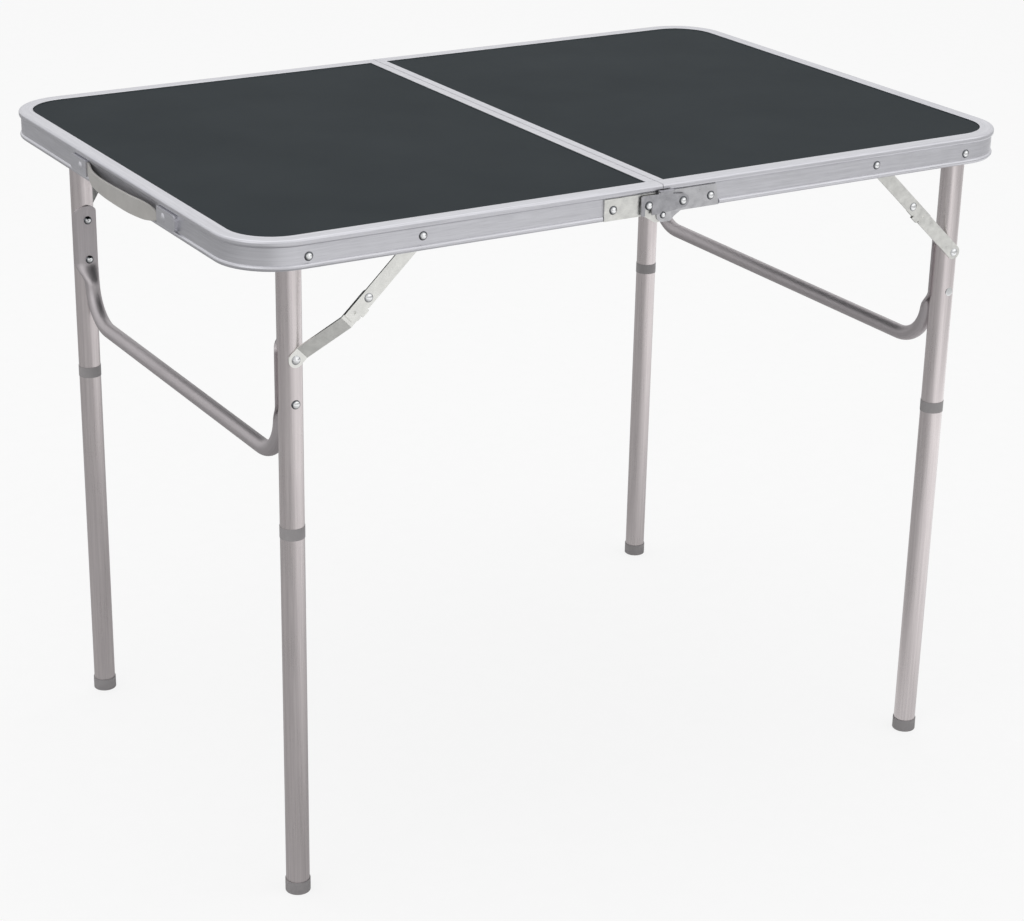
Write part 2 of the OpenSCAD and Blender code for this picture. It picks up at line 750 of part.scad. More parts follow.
module handle_screw_holes(x, depth) {
    for (end = [-1, 1])
        translate([x - depth - cut, end * (strap_l + strap_flat) / 2 - handle_y, strap_z])
            rotate([0, 90, 0]) cylinder(d = rivet_d + 2 * fit_gap, h = depth + lug_t + 2 * cut);
}

module handle_strap() {
    full = strap_l / 2 + strap_flat;
    end_half = strap_end_h / 2;
    upper = concat([[end_half, -full]], swelled(end_half, (strap_h - strap_end_h) / 2), [[end_half, full]]);
    color(STRAP) quarter(LEFT, FRONT) difference() {
        at_handle() intersection() {
            translate([0, 0, -strap_h]) linear_extrude(2 * strap_h)
                polygon(concat([[0, -full]], swelled(0, strap_bow), [[0, full]],
                    [[strap_t, full]], reverse(swelled(strap_t, strap_bow)), [[strap_t, -full]]));
            rotate([90, 0, 90]) linear_extrude(strap_bow + strap_t + cut)
                polygon(concat([for (p = upper) [p[1], p[0]]], [for (p = reverse(upper)) [p[1], -p[0]]]));
        }
        handle_screw_holes(wall_end_x, 0);
    }
}

// Lugs: shallow covers over the strap's ends
module handle_lugs() {
    color(ALU) quarter(LEFT, FRONT) difference() {
        at_handle() for (end = [-1, 1]) mirror([0, end < 0 ? 1 : 0, 0])
            translate([0, strap_l / 2, 0]) difference() {
                rotate([90, 0, 90]) linear_extrude(lug_t) {
                    translate([0, -lug_h / 2]) square([lug_l - lug_r, lug_h]);
                    translate([0, lug_r - lug_h / 2]) square([lug_l, lug_h - 2 * lug_r]);
                    translate([lug_l - lug_r, lug_h / 2 - lug_r]) circle(r = lug_r);
                    translate([lug_l - lug_r, lug_r - lug_h / 2]) circle(r = lug_r);
                }
                translate([-cut, -strap_flat, -strap_end_h / 2 - fit_gap])
                    cube([strap_t + fit_gap + cut, 2 * strap_flat + fit_gap, strap_end_h + 2 * fit_gap]);
            }
        handle_screw_holes(wall_end_x, 0);
    }
}

module handle_screws() {
    grip = lug_t + wall_t;
    color(ALU) quarter(LEFT, FRONT) for (end = [-1, 1])
        translate([wall_end_x + lug_t, end * (strap_l + strap_flat) / 2 - handle_y, strap_z])
            rotate([0, 90, 0]) rivet(rivet_d, grip, low_head_h, head_d, tail_h);
}

edge_frame(LEFT);  // left_edge_frame
edge_frame(RIGHT);  // right_edge_frame
centre_bar(LEFT);  // left_centre_bar
centre_bar(RIGHT);  // right_centre_bar
board(LEFT);  // left_board
board(RIGHT);  // right_board
leg_pivot_rivets(LEFT);  // left_leg_pivot_rivets
leg_pivot_rivets(RIGHT);  // right_leg_pivot_rivets
leg_spacers(LEFT);  // left_leg_spacers
leg_spacers(RIGHT);  // right_leg_spacers
stay_top_rivets(LEFT);  // left_stay_top_rivets
stay_top_rivets(RIGHT);  // right_stay_top_rivets
upper_leg(LEFT, FRONT);  // left_front_upper_leg
upper_leg(LEFT, REAR);  // left_rear_upper_leg
upper_leg(RIGHT, FRONT);  // right_front_upper_leg
upper_leg(RIGHT, REAR);  // right_rear_upper_leg
leg_brace(LEFT);  // left_leg_brace
leg_brace(RIGHT);  // right_leg_brace
brace_rivets(LEFT);  // left_brace_rivets
brace_rivets(RIGHT);  // right_brace_rivets
connector(LEFT, FRONT);  // left_front_connector
connector(LEFT, REAR);  // left_rear_connector
connector(RIGHT, FRONT);  // right_front_connector
connector(RIGHT, REAR);  // right_rear_connector
lower_leg(LEFT, FRONT);  // left_front_lower_leg
lower_leg(LEFT, REAR);  // left_rear_lower_leg
lower_leg(RIGHT, FRONT);  // right_front_lower_leg
lower_leg(RIGHT, REAR);  // right_rear_lower_leg
foot_cap(LEFT, FRONT);  // left_front_foot_cap
foot_cap(LEFT, REAR);  // left_rear_foot_cap
foot_cap(RIGHT, FRONT);  // right_front_foot_cap
foot_cap(RIGHT, REAR);  // right_rear_foot_cap
upper_link(LEFT, FRONT);  // left_front_upper_link
upper_link(LEFT, REAR);  // left_rear_upper_link
upper_link(RIGHT, FRONT);  // right_front_upper_link
upper_link(RIGHT, REAR);  // right_rear_upper_link
mid_rivet(LEFT, FRONT);  // left_front_mid_rivet
mid_rivet(LEFT, REAR);  // left_rear_mid_rivet
mid_rivet(RIGHT, FRONT);  // right_front_mid_rivet
mid_rivet(RIGHT, REAR);  // right_rear_mid_rivet
lower_link(LEFT, FRONT);  // left_front_lower_link
lower_link(LEFT, REAR);  // left_rear_lower_link
lower_link(RIGHT, FRONT);  // right_front_lower_link
lower_link(RIGHT, REAR);  // right_rear_lower_link
hinge_plate(LEFT, FRONT);  // left_front_hinge_plate
hinge_plate(LEFT, REAR);  // left_rear_hinge_plate
hinge_plate(RIGHT, FRONT);  // right_front_hinge_plate
hinge_plate(RIGHT, REAR);  // right_rear_hinge_plate
hinge_pins();
plate_rivets(LEFT);  // left_plate_rivets
plate_rivets(RIGHT);  // right_plate_rivets
catch_studs();
latch_pivots();
latch_lever(FRONT);  // front_latch_lever
latch_lever(REAR);  // rear_latch_lever
handle_strap();
handle_lugs();
handle_screws();
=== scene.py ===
"""A folding camping table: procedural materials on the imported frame, finer shapes, light and camera."""

import json
import math

import bmesh
import bpy
from mathutils import Matrix, Vector

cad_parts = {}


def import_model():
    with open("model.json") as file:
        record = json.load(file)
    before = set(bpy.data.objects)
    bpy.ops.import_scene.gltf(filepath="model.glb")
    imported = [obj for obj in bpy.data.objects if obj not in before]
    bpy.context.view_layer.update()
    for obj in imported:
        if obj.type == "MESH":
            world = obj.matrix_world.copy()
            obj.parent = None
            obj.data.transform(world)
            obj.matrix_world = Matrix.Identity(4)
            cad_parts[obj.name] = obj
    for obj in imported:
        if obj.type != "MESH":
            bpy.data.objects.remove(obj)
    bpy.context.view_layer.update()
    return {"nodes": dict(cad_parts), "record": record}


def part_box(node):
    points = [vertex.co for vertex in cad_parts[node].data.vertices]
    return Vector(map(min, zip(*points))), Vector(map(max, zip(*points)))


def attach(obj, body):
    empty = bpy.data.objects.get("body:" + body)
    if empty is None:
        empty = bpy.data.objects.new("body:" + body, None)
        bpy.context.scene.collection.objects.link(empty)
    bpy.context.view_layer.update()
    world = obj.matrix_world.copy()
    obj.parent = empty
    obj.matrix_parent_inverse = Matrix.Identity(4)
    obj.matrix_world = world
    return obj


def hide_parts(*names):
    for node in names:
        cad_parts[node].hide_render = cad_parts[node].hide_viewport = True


IMAGE_W, IMAGE_H = 1024, 921


def top_outline():
    """The table top's middle along x, half length and half width, from its two edge frames."""
    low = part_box("left_edge_frame")[0]
    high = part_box("right_edge_frame")[1]
    return (low.x + high.x) / 2, (high.x - low.x) / 2, (high.y - low.y) / 2


# Node helpers

# A noise keeps mostly between these two values, so colours and roughness are spread from one to the other.
NOISE_LOW, NOISE_HIGH = 0.3, 0.7


class Tree:
    """The nodes of one material or world. Most calls make nodes and return the last one's output."""

    def __init__(self, owner, output_kind):
        owner.use_nodes = True
        self.owner = owner
        self.nodes = owner.node_tree.nodes
        self.links = owner.node_tree.links
        self.nodes.clear()
        self.output = self.nodes.new(output_kind)

    def join(self, value, socket):
        """Sets a number or colour on a socket, or links another node's output to it."""
        if isinstance(value, bpy.types.NodeSocket):
            self.links.new(value, socket)
        else:
            socket.default_value = value

    def node(self, kind, *values, **settings):
        """Returns the node itself, with its settings made and the values on its first sockets."""
        made = self.nodes.new(f"ShaderNode{kind}")
        for name, setting in settings.items():
            setattr(made, name, setting)
        for value, socket in zip(values, made.inputs):
            self.join(value, socket)
        return made

    def math(self, operation, *values):
        return self.node("Math", *values, operation=operation).outputs[0]

    def blend(self, first, second, share):
        """The first value by its share, and the second one by the rest."""
        rest = self.math("MULTIPLY", second, 1 - share)
        return self.math("ADD", self.math("MULTIPLY", first, share), rest)

    def split(self, vector):
        """Returns three outputs: x, y and z."""
        return self.node("SeparateXYZ", vector).outputs

    def combine(self, x, y, z):
        return self.node("CombineXYZ", x, y, z).outputs[0]

    def noise(self, vector, scale, detail=2.0, roughness=0.5):
        node = self.node("TexNoise", vector)
        node.inputs["Scale"].default_value = scale
        node.inputs["Detail"].default_value = detail
        node.inputs["Roughness"].default_value = roughness
        return node.outputs["Fac"]

    def spread(self, value, low, high, start=NOISE_LOW, end=NOISE_HIGH):
        """Maps start..end to low..high."""
        return self.node("MapRange", value, start, end, low, high).outputs[0]

    def colours(self, value, stops):
        """A colour that runs through stops, each given as (value, colour)."""
        node = self.node("ValToRGB", value)
        elements = node.color_ramp.elements
        for position, _ in stops[1:-1]:
            elements.new(position)
        for element, (position, colour) in zip(elements, stops):
            element.position = position
            element.color = (*colour, 1)
        return node.outputs[0]

    def ramp(self, value, dark, light, start=NOISE_LOW, end=NOISE_HIGH):
        """A colour that runs from dark at start to light at end."""
        return self.colours(value, ((start, dark), (end, light)))

    def rays(self, *kinds):
        """1 for a ray of one of these kinds, and 0 for any other."""
        outputs = self.node("LightPath").outputs
        found = outputs[f"Is {kinds[0]} Ray"]
        for kind in kinds[1:]:
            found = self.math("MAXIMUM", found, outputs[f"Is {kind} Ray"])
        return found

    def mix(self, share, first, second):
        """The first shader where the share is 0, and the second one where it is 1."""
        return self.node("MixShader", share, first, second).outputs[0]

    def show(self, shader):
        """Puts a shader on the output, and returns the material or world."""
        self.links.new(shader, self.output.inputs["Surface"])
        return self.owner


class Material(Tree):
    """A material's nodes. Its place is the object's own coordinates, or a vector that the vertices carry."""

    def __init__(self, name, attribute=None):
        super().__init__(bpy.data.materials.new(name), "ShaderNodeOutputMaterial")
        if attribute is None:
            self.place = self.node("TexCoord").outputs["Object"]
        else:
            self.place = self.node("Attribute", attribute_name=attribute).outputs["Vector"]

    def scaled(self, x, y, z):
        """The place times a factor along each axis. A small factor draws a noise out along its axis."""
        node = self.node("Mapping", self.place)
        node.inputs["Scale"].default_value = (x, y, z)
        return node.outputs[0]

    def roughness(self, grain, cloud, middle, swing, cloud_swing=0.03):
        """Roughness about a middle value, that swings with the grain and with the clouds."""
        by_grain = self.spread(grain, middle - swing, middle + swing)
        return self.math("ADD", by_grain, self.spread(cloud, -cloud_swing, cloud_swing))

    def bump(self, height, strength, distance):
        node = self.node("Bump")
        node.inputs["Strength"].default_value = strength
        node.inputs["Distance"].default_value = distance
        self.join(height, node.inputs["Height"])
        return node.outputs[0]

    def surface(self, **inputs):
        """Shows the surface shader and returns the material. A key is a socket's name with _ for a blank."""
        shader = self.node("BsdfPrincipled")
        for key, value in inputs.items():
            self.join(value, shader.inputs[key.replace("_", " ")])
        return self.show(shader.outputs[0])


def linear(red, green, blue):
    """The linear colour of an sRGB one, given as 0 to 255."""
    def one(level):
        level /= 255
        return level / 12.92 if level <= 0.04045 else ((level + 0.055) / 1.055) ** 2.4
    return one(red), one(green), one(blue)


# Materials

# Radius of the table top's corners in metres.
CORNER_R = 0.060
# Factor on the place along the rim, which draws its lines out.
RIM_DRAW = 0.02
# The lines and the streaks each have their own slice through the noise.
LINE_SLICE, STREAK_SLICE = 0.0, 0.3
# Name of the vector on the braces' vertices: round the tube in x and y, and along it in z.
FLOW = "flow"


def rim_distance(tree, x, y):
    """Grows outwards over the table top, and keeps one value all along the rim and round its corners."""
    middle_x, half_l, half_w = top_outline()
    from_middle = tree.math("ABSOLUTE", tree.math("SUBTRACT", x, middle_x))
    over_x = tree.math("SUBTRACT", from_middle, half_l - CORNER_R)
    over_y = tree.math("SUBTRACT", tree.math("ABSOLUTE", y), half_w - CORNER_R)
    out_x = tree.math("MAXIMUM", over_x, 0.0)
    out_y = tree.math("MAXIMUM", over_y, 0.0)
    squares = tree.math("ADD", tree.math("MULTIPLY", out_x, out_x), tree.math("MULTIPLY", out_y, out_y))
    inside = tree.math("MINIMUM", tree.math("MAXIMUM", over_x, over_y), 0.0)
    return tree.math("ADD", tree.math("SQRT", squares), inside)


def frame_aluminium():
    """Satin anodised section. Fine draw lines run along the rim and round its corners."""
    tree = Material("frame_aluminium")
    x, y, z = tree.split(tree.place)
    across = tree.math("SUBTRACT", z, rim_distance(tree, x, y))
    along = tree.math("MULTIPLY", tree.math("ADD", x, y), RIM_DRAW)
    lines = tree.noise(tree.combine(across, along, LINE_SLICE), scale=2600.0, detail=3.0, roughness=0.6)
    streaks = tree.noise(tree.combine(across, along, STREAK_SLICE), scale=420.0)
    cloud = tree.noise(tree.place, scale=30.0, detail=3.0)
    grain = tree.blend(lines, streaks, share=0.6)
    return tree.surface(
        Base_Color=tree.ramp(grain, linear(185, 185, 190), linear(213, 213, 218)),
        Metallic=1.0,
        Roughness=tree.roughness(grain, cloud, middle=0.41, swing=0.05),
        Normal=tree.bump(grain, strength=0.22, distance=0.00006),
    )


def drawn_tube(name, dark, light, rough, attribute=None):
    """Drawn aluminium tube: faint lines along the tube, with a warm silver tint."""
    tree = Material(name, attribute)
    lines = tree.noise(tree.scaled(1.0, 1.0, 0.008), scale=2200.0, detail=3.0, roughness=0.6)
    streaks = tree.noise(tree.scaled(1.0, 1.0, 0.02), scale=380.0)
    cloud = tree.noise(tree.place, scale=22.0, detail=3.0)
    grain = tree.blend(lines, streaks, share=0.5)
    return tree.surface(
        Base_Color=tree.ramp(grain, linear(*dark), linear(*light)),
        Metallic=1.0,
        Roughness=tree.roughness(grain, cloud, middle=rough, swing=0.035),
        Normal=tree.bump(grain, strength=0.08, distance=0.00006),
    )


def zinc_plate(name, dark, light):
    """Zinc on pressed sheet: soft blotches and fine rolling marks."""
    tree = Material(name)
    blotch = tree.noise(tree.place, scale=130.0, detail=4.0, roughness=0.6)
    marks = tree.noise(tree.scaled(0.25, 1.0, 1.0), scale=1500.0, detail=3.0)
    mixed = tree.blend(blotch, marks, share=0.7)
    return tree.surface(
        Base_Color=tree.ramp(mixed, linear(*dark), linear(*light)),
        Metallic=1.0,
        Roughness=tree.spread(mixed, 0.26, 0.4),
        Normal=tree.bump(mixed, strength=0.2, distance=0.00008),
    )


def rivet_steel():
    """Polished steel heads with light handling scratches. Painted shade and highlight: dark round the foot
    of the dome, light on its top.
    """
    tree = Material("rivet_steel")
    scratches = tree.noise(tree.scaled(1.0, 1.0, 0.2), scale=1800.0, detail=4.0, roughness=0.7)
    cloud = tree.noise(tree.place, scale=240.0, detail=3.0)
    # Painted shade and highlight: the colour runs from dark where the surface turns away from y, round the
    # foot of the dome, to light where it faces along y.
    normal = tree.node("NewGeometry").outputs["Normal"]
    painted_light_facing = tree.math("ABSOLUTE", tree.split(normal)[1])
    painted_shade_and_highlight = tree.math("ADD", painted_light_facing, tree.spread(cloud, -0.02, 0.02))
    return tree.surface(
        Base_Color=tree.ramp(painted_shade_and_highlight, linear(84, 86, 90), linear(222, 223, 224), start=0.82, end=0.94),
        Metallic=1.0,
        Roughness=tree.spread(scratches, 0.1, 0.2),
        Normal=tree.bump(scratches, strength=0.08, distance=0.00004),
    )


def board_slate():
    """Matt slate-grey foil with a fine pebbled grain."""
    tree = Material("board_slate")
    pebble = tree.noise(tree.place, scale=1500.0)
    fine = tree.noise(tree.place, scale=4200.0)
    cloud = tree.noise(tree.place, scale=9.0, detail=3.0)
    height = tree.blend(pebble, fine, share=0.7)
    tint = tree.blend(height, cloud, share=0.5)
    return tree.surface(
        Base_Color=tree.ramp(tint, linear(48, 53, 56), linear(56, 61, 64)),
        Roughness=tree.spread(height, 0.62, 0.74),
        Specular_IOR_Level=0.03,
        Normal=tree.bump(height, strength=0.16, distance=0.00012),
    )


def moulded(name, dark, light, rough, scale):
    """Moulded plastic or rubber with a spark-eroded grain."""
    tree = Material(name)
    grain = tree.noise(tree.place, scale=scale)
    cloud = tree.noise(tree.place, scale=60.0, detail=3.0)
    tint = tree.blend(grain, cloud, share=0.4)
    return tree.surface(
        Base_Color=tree.ramp(tint, linear(*dark), linear(*light)),
        Roughness=tree.spread(grain, rough - 0.05, rough + 0.05),
        Specular_IOR_Level=0.4,
        Normal=tree.bump(grain, strength=0.25, distance=0.00012),
    )


def materials():
    """Every finish by its name. The names are the frame's slots, and three finishes more."""
    return {
        "frame_aluminium": frame_aluminium(),
        "leg_aluminium": drawn_tube("leg_aluminium", (194, 187, 188), (221, 214, 214), rough=0.295),
        "brace_aluminium": drawn_tube(
            "brace_aluminium", (172, 167, 169), (194, 189, 191), rough=0.52, attribute=FLOW,
        ),
        "zinc_plate": zinc_plate("zinc_plate", (212, 212, 209), (236, 236, 232)),
        # Darker copies of the zinc for the right plates and the levers: painted shade.
        "plate_painted_shade": zinc_plate("plate_painted_shade", (184, 184, 187), (206, 206, 209)),
        "lever_painted_shade": zinc_plate("lever_painted_shade", (158, 158, 162), (184, 184, 188)),
        "rivet_steel": rivet_steel(),
        "board_slate": board_slate(),
        "grey_plastic": moulded("grey_plastic", (139, 136, 137), (153, 150, 151), rough=0.5, scale=1500.0),
        "foot_rubber": moulded("foot_rubber", (133, 130, 131), (150, 147, 148), rough=0.62, scale=1100.0),
        "handle_plastic": moulded(
            "handle_plastic", (160, 158, 155), (174, 172, 169), rough=0.5, scale=900.0,
        ),
    }


# Nodes that get a darker copy of their slot's zinc finish. The darkness is painted shade, not a different
# metal.
DARKER_ZINC_AS_PAINTED_SHADE = {
    "right_front_hinge_plate": "plate_painted_shade",
    "right_rear_hinge_plate": "plate_painted_shade",
    "front_latch_lever": "lever_painted_shade",
    "rear_latch_lever": "lever_painted_shade",
}


def dress(frame, finishes):
    """Gives every node of the frame its finish."""
    names = {part["node"]: part["material_slot"] for part in frame["record"]["subparts"]}
    names.update(DARKER_ZINC_AS_PAINTED_SHADE)
    for node, piece in frame["nodes"].items():
        piece.data.materials.clear()
        piece.data.materials.append(finishes[names[node]])


# Mesh helpers

def join_rings(made, rings):
    """Faces between each closed ring of vertices and the next one."""
    for ring, after in zip(rings, rings[1:]):
        for i in range(len(ring)):
            j = (i + 1) % len(ring)
            made.faces.new((ring[i], ring[j], after[j], after[i]))


def close_tube(made, rings):
    """A tube through closed rings of vertices, with a face at both ends."""
    join_rings(made, rings)
    made.faces.new(rings[0])
    made.faces.new(rings[-1])


def piece_of(made, name, finish, crease):
    """A piece from a finished bmesh, smooth but for the edges that turn more than the crease angle."""
    bmesh.ops.recalc_face_normals(made, faces=made.faces)
    mesh = bpy.data.meshes.new(name)
    made.to_mesh(mesh)
    made.free()
    mesh.shade_smooth()
    mesh.set_sharp_from_angle(angle=crease)
    mesh.materials.append(finish)
    piece = bpy.data.objects.new(name, mesh)
    bpy.context.scene.collection.objects.link(piece)
    return piece


def round_edges(piece, width, segments, crease):
    """Rounds the edges of a piece that turn more than the crease angle."""
    edge = piece.modifiers.new("edge", "BEVEL")
    edge.width = width
    edge.segments = segments
    edge.limit_method = "ANGLE"
    edge.angle_limit = crease


# Braces

# Sizes in metres. The tube and its bends.
TUBE_R, BEND_R = 0.008, 0.045
# The saddles that the tube's ends are pressed into, round the legs: length, thickness, and how far out from
# the leg's axis their long edges lie.
SADDLE_L, SADDLE_T, SADDLE_OUT = 0.066, 0.003, 0.004
# Clearance between leg and saddle, and between leg and tube.
SEAT_GAP, LEG_GAP = 0.00005, 0.0003
# The throat between saddle and tube starts so far up in the saddle, and ends so far below the bend's start.
THROAT_RUN, THROAT_DIP = 0.002, 0.004
# The round top of a saddle goes up to this angle, just short of a point.
TOP_TURN = math.radians(87)
# Points on half an outline, and steps along the round top, the throat and a bend.
HALF_POINTS = 21
TOP_STEPS, THROAT_STEPS, BEND_STEPS = 14, 12, 18
# Edges that turn more than this angle are rounded, to this width.
BRACE_CREASE, BRACE_EDGE = math.radians(50), 0.0006
# Vertices nearer than this are one.
WELD = 0.00001


def section(flatness, half_width, leg_r, tube_out):
    """One outline as (across, out from the leg's axis): a round tube at 0, a plate round the leg at 1."""
    points = []
    for face, radius in ((1, leg_r + SADDLE_T), (-1, leg_r)):
        widest = min(math.asin(min(half_width / radius, 1.0)), math.acos(SADDLE_OUT / radius))
        for i in range(HALF_POINTS):
            share = face * (2 * i / (HALF_POINTS - 1) - 1)
            turn = share * math.pi / 2
            tube = Vector((TUBE_R * math.sin(turn), tube_out + face * TUBE_R * math.cos(turn)))
            plate = Vector((radius * math.sin(share * widest), radius * math.cos(share * widest)))
            points.append(tube.lerp(plate, flatness))
    return points


def half_brace(mid_x, leg_y, top_z, bend_z, leg_r):
    """The rings of the front half, from the top of the saddle down and round the bend to the middle."""
    tube_out = leg_r - SEAT_GAP + LEG_GAP + TUBE_R
    saddle_r = leg_r + SADDLE_T
    round_z = top_z - saddle_r
    plate_z = top_z - SADDLE_L + THROAT_RUN
    tube_z = bend_z - THROAT_DIP
    centre_y = tube_out + BEND_R - leg_y

    def outline_at(z, half_width=saddle_r):
        """The outline at a height: pressed flat over the throat, round under it, and smooth in between."""
        share = min(max((z - tube_z) / (plate_z - tube_z), 0.0), 1.0)
        return section(share * share * (3 - 2 * share), half_width, leg_r, tube_out)

    def straight(z, half_width=saddle_r):
        return [Vector((mid_x + across, out - leg_y, z)) for across, out in outline_at(z, half_width)]

    def bent(turn):
        ring = []
        for across, out in outline_at(bend_z - (BEND_R - TUBE_R) * math.sin(turn)):
            arm = BEND_R + tube_out - out
            ring.append(Vector((
                mid_x + across,
                centre_y - arm * math.cos(turn),
                bend_z - arm * math.sin(turn),
            )))
        return ring

    rings = []
    for i in range(TOP_STEPS, -1, -1):
        turn = TOP_TURN * i / TOP_STEPS
        rings.append(straight(round_z + saddle_r * math.sin(turn), saddle_r * math.cos(turn)))
    for i in range(THROAT_STEPS + 1):
        rings.append(straight(plate_z + (bend_z - plate_z) * i / THROAT_STEPS))
    for i in range(1, BEND_STEPS + 1):
        rings.append(bent(math.pi / 2 * i / BEND_STEPS))
    rings.append([Vector((point.x, 0.0, point.z)) for point in rings[-1]])
    return rings


def centre(points):
    return sum(points, Vector()) / len(points)


def brace(end, finish):
    """The crossbar of one leg frame, one tube from saddle to saddle, in place of the plain solid."""
    low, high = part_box(f"{end}_leg_brace")
    leg_low, leg_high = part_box(f"{end}_front_upper_leg")
    leg_r = (high.x - low.x) / 2 - SADDLE_T
    mid_x = (low.x + high.x) / 2
    leg_y = -(leg_low.y + leg_high.y) / 2
    front = half_brace(mid_x, leg_y, high.z, low.z + TUBE_R + BEND_R, leg_r)
    rear = [[Vector((point.x, -point.y, point.z)) for point in ring] for ring in front[-2::-1]]
    made = bmesh.new()
    flow = made.verts.layers.float_vector.new(FLOW)
    rings = []
    along = 0.0
    last = centre(front[0])
    for points in front + rear:
        along += (centre(points) - last).length
        last = centre(points)
        ring = [made.verts.new(point) for point in points]
        for i, vertex in enumerate(ring):
            turn = 2 * math.pi * i / len(ring)
            vertex[flow] = (TUBE_R * math.cos(turn), TUBE_R * math.sin(turn), along)
        rings.append(ring)
    close_tube(made, rings)
    bmesh.ops.remove_doubles(made, verts=made.verts, dist=WELD)
    piece = piece_of(made, f"{end}_brace", finish, BRACE_CREASE)
    round_edges(piece, BRACE_EDGE, segments=2, crease=BRACE_CREASE)
    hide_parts(f"{end}_leg_brace")
    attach(piece, f"{end}_leg_frame")


# Handle strap

# Sizes in metres: thickness, and the flat length under each lug.
STRAP_T, STRAP_FLAT = 0.0026, 0.030
# Steps along the strap between its lugs.
STRAP_STEPS = 96
# Edges that turn more than this angle are rounded, to this width.
STRAP_CREASE, STRAP_EDGE = math.radians(40), 0.0007
# From the rear lug at -1 to the front one at 1: the place, the strap's top and its bottom in metres up from
# the middle line, and how far it stands off the wall as a share of its full bow.
STRAP_SHAPE = (
    (-1.0, 0.0069, -0.0069, 0.0),
    (-0.72, 0.0042, -0.0110, 0.75),
    (-0.3, 0.0036, -0.0134, 1.0),
    (0.3, 0.0050, -0.0134, 1.0),
    (0.72, 0.0062, -0.0115, 0.75),
    (0.86, 0.0044, -0.0100, 0.42),
    (0.95, 0.0008, -0.0082, 0.13),
    (1.0, -0.0034, -0.0069, 0.0),
)


def strap_at(share):
    """Top, bottom and bow at a place along the strap, on smooth curves through the points of its shape."""
    last = len(STRAP_SHAPE) - 1
    i = next(k for k in range(last) if share <= STRAP_SHAPE[k + 1][0])
    before, start, stop, after = (STRAP_SHAPE[min(max(k, 0), last)] for k in range(i - 1, i + 3))
    span = stop[0] - start[0]
    way = (share - start[0]) / span
    values = []
    for k in (1, 2, 3):
        leave = (stop[k] - before[k]) / (stop[0] - before[0]) * span
        arrive = (after[k] - start[k]) / (after[0] - start[0]) * span
        level = (2 * way ** 3 - 3 * way ** 2 + 1) * start[k] + (3 * way ** 2 - 2 * way ** 3) * stop[k]
        values.append(level + (way ** 3 - 2 * way ** 2 + way) * leave + (way ** 3 - way ** 2) * arrive)
    top, bottom, bow = values
    return top, bottom, min(max(bow, 0.0), 1.0)


def strap(finish):
    """The carrying strap: bowed off the wall between its lugs, sagging, with a rounded front end."""
    low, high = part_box("handle_strap")
    middle = (low + high) / 2
    half = (high.y - low.y) / 2
    free = half - STRAP_FLAT
    full_bow = high.x - low.x - STRAP_T
    places = [half] + [free * (1 - 2 * i / STRAP_STEPS) for i in range(STRAP_STEPS + 1)] + [-half]
    made = bmesh.new()
    rings = []
    for place in places:
        top, bottom, bow = strap_at(min(max(-place / free, -1.0), 1.0))
        inner = high.x - full_bow * bow
        outer = inner - STRAP_T
        corners = ((inner, top), (outer, top), (outer, bottom), (inner, bottom))
        rings.append([made.verts.new((x, middle.y + place, middle.z + z)) for x, z in corners])
    close_tube(made, rings)
    piece = piece_of(made, "strap", finish, STRAP_CREASE)
    round_edges(piece, STRAP_EDGE, segments=3, crease=STRAP_CREASE)
    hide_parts("handle_strap")
    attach(piece, "left_top")


# Outer rivet heads

# Sizes in metres: radius, and how far the foot goes into the leg.
HEAD_R, HEAD_SINK = 0.0045, 0.001
# Height of a head. The right ones are set nearly flush, because the folded stays pass over them.
HEAD_H = {"left": 0.0019, "right": 0.00015}
# Steps from the foot of a dome to its tip, and points round it.
DOME_STEPS, DOME_POINTS = 8, 32
# The foot of a dome stays a sharp edge, and the dome is smooth.
HEAD_CREASE = math.radians(50)


def dome(made, middle, out, height):
    """One head about a point on the leg's skin. It looks along y, to the side that out gives as 1 or -1."""
    profile = [(HEAD_R, -HEAD_SINK)]
    for i in range(DOME_STEPS):
        turn = math.pi / 2 * i / DOME_STEPS
        profile.append((HEAD_R * math.cos(turn), height * math.sin(turn)))
    rings = []
    for radius, rise in profile:
        ring = []
        for i in range(DOME_POINTS):
            turn = 2 * math.pi * i / DOME_POINTS
            offset = Vector((radius * math.cos(turn), out * rise, radius * math.sin(turn)))
            ring.append(made.verts.new(middle + offset))
        rings.append(ring)
    join_rings(made, rings)
    made.faces.new(rings[0])
    tip = made.verts.new(middle + Vector((0, out * height, 0)))
    for i in range(DOME_POINTS):
        made.faces.new((rings[-1][i], rings[-1][(i + 1) % DOME_POINTS], tip))


def outer_rivets(end, finish):
    """The heads of the saddles' lower rivets on the outer sides of one frame's legs."""
    rivets_low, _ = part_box(f"{end}_brace_rivets")
    made = bmesh.new()
    for side, out in (("front", -1), ("rear", 1)):
        low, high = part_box(f"{end}_{side}_upper_leg")
        skin_y = low.y if out < 0 else high.y
        middle = Vector(((low.x + high.x) / 2, skin_y, rivets_low.z + HEAD_R))
        dome(made, middle, out, HEAD_H[end])
    piece = piece_of(made, f"{end}_outer_rivets", finish, HEAD_CREASE)
    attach(piece, f"{end}_leg_frame")


# Floor, light and camera

WHITE = (1, 1, 1, 1)
# The floor's size in metres, and its darkest and lightest grey.
FLOOR_SIZE = 30.0
FLOOR_GREYS = (0.84, 0.88)
# Share of plain light in the floor that the camera and metal see. The rest is lit, and shows the shadow.
FLOOR_GLOW = 0.82
# Painted reflection: metal sees the floor glow in bands that only reflections see, dark at the back left and
# brightest on the way to the front right: this direction over the floor as its x and y, the span along it in
# metres, and (place along the span, level).
BAND_X, BAND_Y = 0.8, -0.6
BAND_SPAN = (-2.0, 3.0)
PAINTED_REFLECTION_BAND = ((0.0, 0.38), (0.4, 0.45), (0.66, 1.45), (0.82, 0.7), (1.0, 0.6))
# Strength of the sky as light.
SKY = 0.73
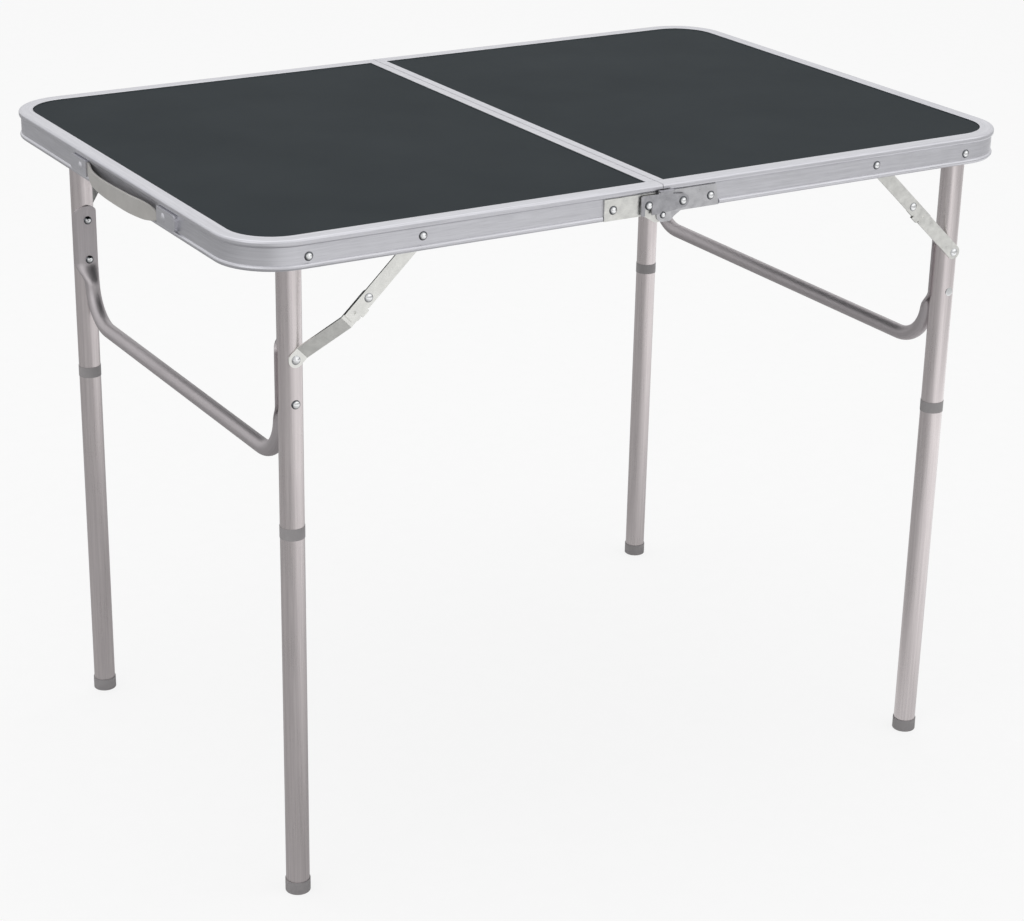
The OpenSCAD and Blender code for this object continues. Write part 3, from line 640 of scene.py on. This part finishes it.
# Of each lamp: its place, the point it looks at, its two sides in metres, and its watts.
LAMPS = {
    "key": ((2.2, -3.2, 2.6), (0.0, 0.0, 0.5), (4.4, 3.8), 22),
    "fill": ((-3.4, -1.6, 1.8), (0.0, 0.0, 0.5), (2.4, 2.4), 14),
    "top": ((0.0, 0.8, 3.6), (0.0, 0.0, 0.6), (4.0, 3.4), 22),
}


def grey(level):
    return level, level, level


def floor_glow_and_painted_reflection(tree):
    """The floor's glow: plain white to the camera, and a painted reflection in bands to metal."""
    x, y, _ = tree.split(tree.place)
    ahead = tree.math("ADD", tree.math("MULTIPLY", x, BAND_X), tree.math("MULTIPLY", y, BAND_Y))
    stops = [(position, grey(level)) for position, level in PAINTED_REFLECTION_BAND]
    # Painted reflection: a band of glow, up to brighter than white, that only glossy rays see.
    painted_reflection = tree.colours(tree.spread(ahead, 0.0, 1.0, *BAND_SPAN), stops)
    strength = tree.math("MULTIPLY_ADD", tree.math("SUBTRACT", painted_reflection, 1.0), tree.rays("Glossy"), 1.0)
    return tree.node("Emission", WHITE, strength).outputs[0]


def floor():
    """A pale floor that keeps the object's shadow and is clear from below."""
    bpy.ops.mesh.primitive_plane_add(size=FLOOR_SIZE, location=(0, 0, 0))
    plane = bpy.context.object
    plane.name = "floor"
    tree = Material("floor")
    speckle = tree.noise(tree.place, scale=40.0, detail=3.0)
    dark, light = FLOOR_GREYS
    lit = tree.node("BsdfDiffuse", tree.ramp(speckle, grey(dark), grey(light))).outputs[0]
    seen = tree.rays("Camera", "Glossy", "Transmission")
    pale = tree.mix(tree.math("MULTIPLY", seen, FLOOR_GLOW), lit, floor_glow_and_painted_reflection(tree))
    back = tree.node("NewGeometry").outputs["Backfacing"]
    from_below = tree.math("MULTIPLY", back, tree.rays("Camera"))
    clear = tree.node("BsdfTransparent").outputs[0]
    plane.data.materials.append(tree.show(tree.mix(from_below, pale, clear)))


def world():
    """White to the camera and to metal, and a plain grey sky as light."""
    studio = bpy.data.worlds.new("studio")
    bpy.context.scene.world = studio
    tree = Tree(studio, "ShaderNodeOutputWorld")
    sky = tree.node("Background", WHITE, SKY).outputs[0]
    backdrop = tree.node("Background", WHITE, 1.0).outputs[0]
    tree.show(tree.mix(tree.rays("Camera", "Glossy"), sky, backdrop))


def lamp(name, place, aim, size, watts):
    """A soft rectangular lamp that looks at a point."""
    data = bpy.data.lights.new(name, "AREA")
    data.shape = "RECTANGLE"
    data.size, data.size_y = size
    data.energy = watts
    made = bpy.data.objects.new(name, data)
    made.location = place
    made.rotation_euler = (Vector(aim) - Vector(place)).to_track_quat("-Z", "Y").to_euler()
    bpy.context.scene.collection.objects.link(made)


def camera():
    """The photograph's view, solved from the table's corners, legs, rivets and feet."""
    # The turn about the table, the rise over the floor and the roll, in degrees. Lengths are in metres.
    turn, rise, roll = (math.radians(angle) for angle in (-30.37, 22.18, 0.77))
    distance = 2.2
    middle_x = top_outline()[0]
    target = Vector((middle_x - 0.30382, -0.45855, 0.52225))
    # In pixels of the photograph.
    focal, centre_x, centre_y = 2484.12, 471.40, 465.24
    back = Vector((math.sin(turn) * math.cos(rise), -math.cos(turn) * math.cos(rise), math.sin(rise)))
    level = Vector((math.cos(turn), math.sin(turn), 0.0))
    upright = back.cross(level)
    right = math.cos(roll) * level + math.sin(roll) * upright
    up = math.cos(roll) * upright - math.sin(roll) * level
    data = bpy.data.cameras.new("camera")
    data.sensor_width = 36.0
    data.lens = data.sensor_width * focal / IMAGE_W
    data.shift_x = (IMAGE_W / 2 - centre_x) / IMAGE_W
    data.shift_y = (centre_y - IMAGE_H / 2) / IMAGE_W
    made = bpy.data.objects.new("camera", data)
    stand = Matrix((right, up, back)).transposed().to_4x4()
    stand.translation = target + distance * back
    made.matrix_world = stand
    bpy.context.scene.collection.objects.link(made)
    bpy.context.scene.camera = made


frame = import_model()
bpy.context.scene.view_settings.view_transform = "Standard"
camera()
finishes = materials()
dress(frame, finishes)
for end_name in ("left", "right"):
    brace(end_name, finishes["brace_aluminium"])
    outer_rivets(end_name, finishes["rivet_steel"])
strap(finishes["handle_plastic"])
floor()
world()
for lamp_name, lamp_values in LAMPS.items():
    lamp(lamp_name, *lamp_values)
